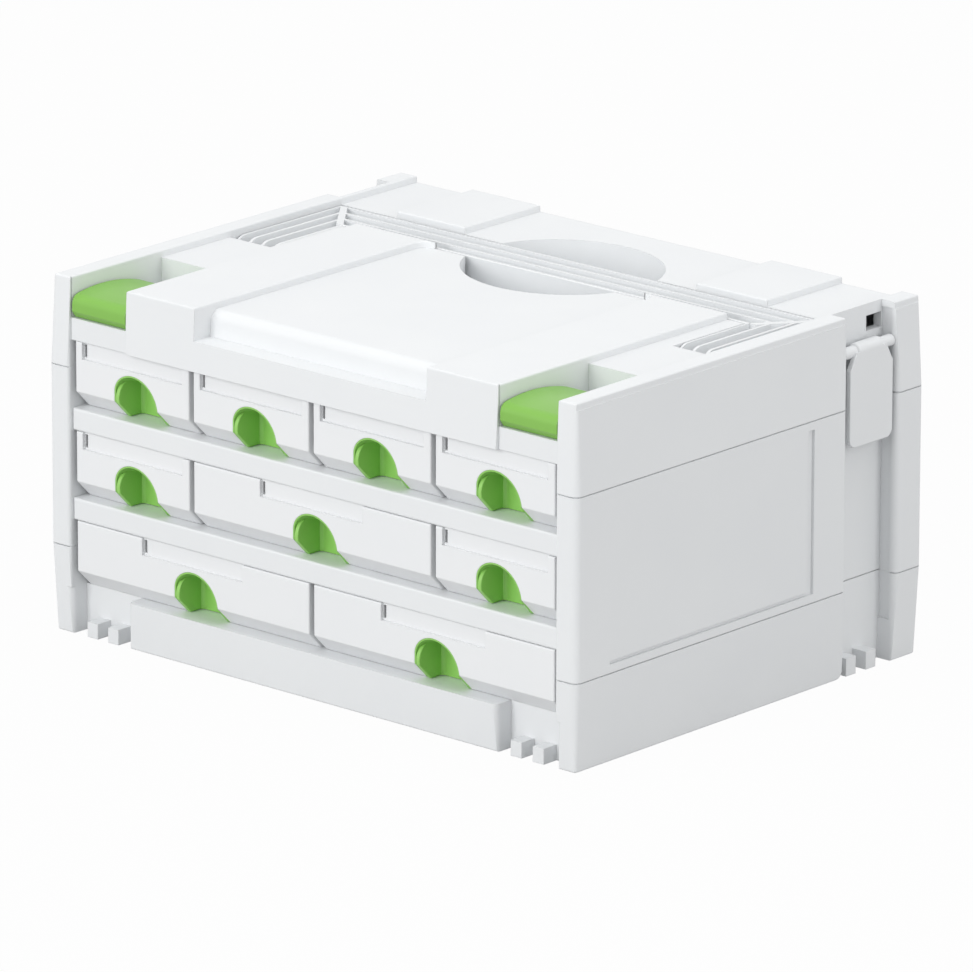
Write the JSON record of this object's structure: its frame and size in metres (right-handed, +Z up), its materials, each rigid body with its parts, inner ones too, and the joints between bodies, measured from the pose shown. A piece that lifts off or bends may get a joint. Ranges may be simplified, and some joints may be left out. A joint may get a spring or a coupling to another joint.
{
  "type": "drawer organizer case",
  "caption": "Stackable moulded case with rows of slide-out small-parts drawers, finned finger pulls, a fold-flat carrying bail, corner latches and side latches.",
  "frame": {"origin": "on the surface the case stands on, under the middle of its footprint", "axes": "+Z up, front with the drawers towards -Y, +X to the right seen from the front"},
  "size_m": [0.396, 0.296, 0.21],
  "materials": {
    "case_white": "satin moulded",
    "drawer_white": "satin moulded",
    "bail_white": "satin moulded",
    "side_latch_white": "satin moulded",
    "pull_green": "satin moulded",
    "latch_green": "satin moulded",
    "pin_steel": "plain"
  },
  "bodies": {
    "case": {"base": "case_white", "middle_frame": "case_white", "top_cover": "case_white", "lower_shelf": "case_white", "upper_shelf": "case_white", "divider_row1_1": "case_white", "divider_row2_1": "case_white", "divider_row2_2": "case_white", "divider_row3_1": "case_white", "divider_row3_2": "case_white", "divider_row3_3": "case_white", "bail_pin_left": "pin_steel", "bail_pin_right": "pin_steel", "front_latch_pin_left": "pin_steel", "front_latch_pin_right": "pin_steel", "side_latch_pin_left": "pin_steel", "side_latch_pin_right": "pin_steel", "case_screws": "pin_steel"},
    "drawer_row1_1": {"drawer_row1_1": "drawer_white", "pull_row1_1": "pull_green"},
    "drawer_row1_2": {"drawer_row1_2": "drawer_white", "pull_row1_2": "pull_green"},
    "drawer_row2_1": {"drawer_row2_1": "drawer_white", "pull_row2_1": "pull_green"},
    "drawer_row2_2": {"drawer_row2_2": "drawer_white", "pull_row2_2": "pull_green"},
    "drawer_row2_3": {"drawer_row2_3": "drawer_white", "pull_row2_3": "pull_green"},
    "drawer_row3_1": {"drawer_row3_1": "drawer_white", "pull_row3_1": "pull_green"},
    "drawer_row3_2": {"drawer_row3_2": "drawer_white", "pull_row3_2": "pull_green"},
    "drawer_row3_3": {"drawer_row3_3": "drawer_white", "pull_row3_3": "pull_green"},
    "drawer_row3_4": {"drawer_row3_4": "drawer_white", "pull_row3_4": "pull_green"},
    "bail": {"bail_handle": "bail_white"},
    "front_latch_left": {"front_latch_left": "latch_green"},
    "side_latch_left": {"side_latch_left": "side_latch_white"},
    "front_latch_right": {"front_latch_right": "latch_green"},
    "side_latch_right": {"side_latch_right": "side_latch_white"}
  },
  "joints": [
    {"name": "drawer_row1_1_slide", "type": "slide", "parent": "case", "child": "drawer_row1_1", "axis": [0, -1, 0], "range_m": [0, 0.2]},
    {"name": "drawer_row1_2_slide", "type": "slide", "parent": "case", "child": "drawer_row1_2", "axis": [0, -1, 0], "range_m": [0, 0.2]},
    {"name": "drawer_row2_1_slide", "type": "slide", "parent": "case", "child": "drawer_row2_1", "axis": [0, -1, 0], "range_m": [0, 0.2]},
    {"name": "drawer_row2_2_slide", "type": "slide", "parent": "case", "child": "drawer_row2_2", "axis": [0, -1, 0], "range_m": [0, 0.2]},
    {"name": "drawer_row2_3_slide", "type": "slide", "parent": "case", "child": "drawer_row2_3", "axis": [0, -1, 0], "range_m": [0, 0.2]},
    {"name": "drawer_row3_1_slide", "type": "slide", "parent": "case", "child": "drawer_row3_1", "axis": [0, -1, 0], "range_m": [0, 0.2]},
    {"name": "drawer_row3_2_slide", "type": "slide", "parent": "case", "child": "drawer_row3_2", "axis": [0, -1, 0], "range_m": [0, 0.2]},
    {"name": "drawer_row3_3_slide", "type": "slide", "parent": "case", "child": "drawer_row3_3", "axis": [0, -1, 0], "range_m": [0, 0.2]},
    {"name": "drawer_row3_4_slide", "type": "slide", "parent": "case", "child": "drawer_row3_4", "axis": [0, -1, 0], "range_m": [0, 0.2]},
    {"name": "bail_lift", "type": "hinge", "parent": "case", "child": "bail", "pos_m": [0, -0.0035, 0.1965], "axis": [1, 0, 0], "range_deg": [0, 92]},
    {"name": "front_latch_left_lift", "type": "hinge", "parent": "case", "child": "front_latch_left", "pos_m": [-0.16075, -0.0928, 0.1923], "axis": [-1, 0, 0], "range_deg": [0, 60]},
    {"name": "side_latch_left_swing", "type": "hinge", "parent": "case", "child": "side_latch_left", "pos_m": [-0.1922, 0.10295, 0.188], "axis": [0, 1, 0], "range_deg": [0, 100]},
    {"name": "front_latch_right_lift", "type": "hinge", "parent": "case", "child": "front_latch_right", "pos_m": [0.16075, -0.0928, 0.1923], "axis": [-1, 0, 0], "range_deg": [0, 60]},
    {"name": "side_latch_right_swing", "type": "hinge", "parent": "case", "child": "side_latch_right", "pos_m": [0.1922, 0.10295, 0.188], "axis": [0, -1, 0], "range_deg": [0, 100]}
  ]
}
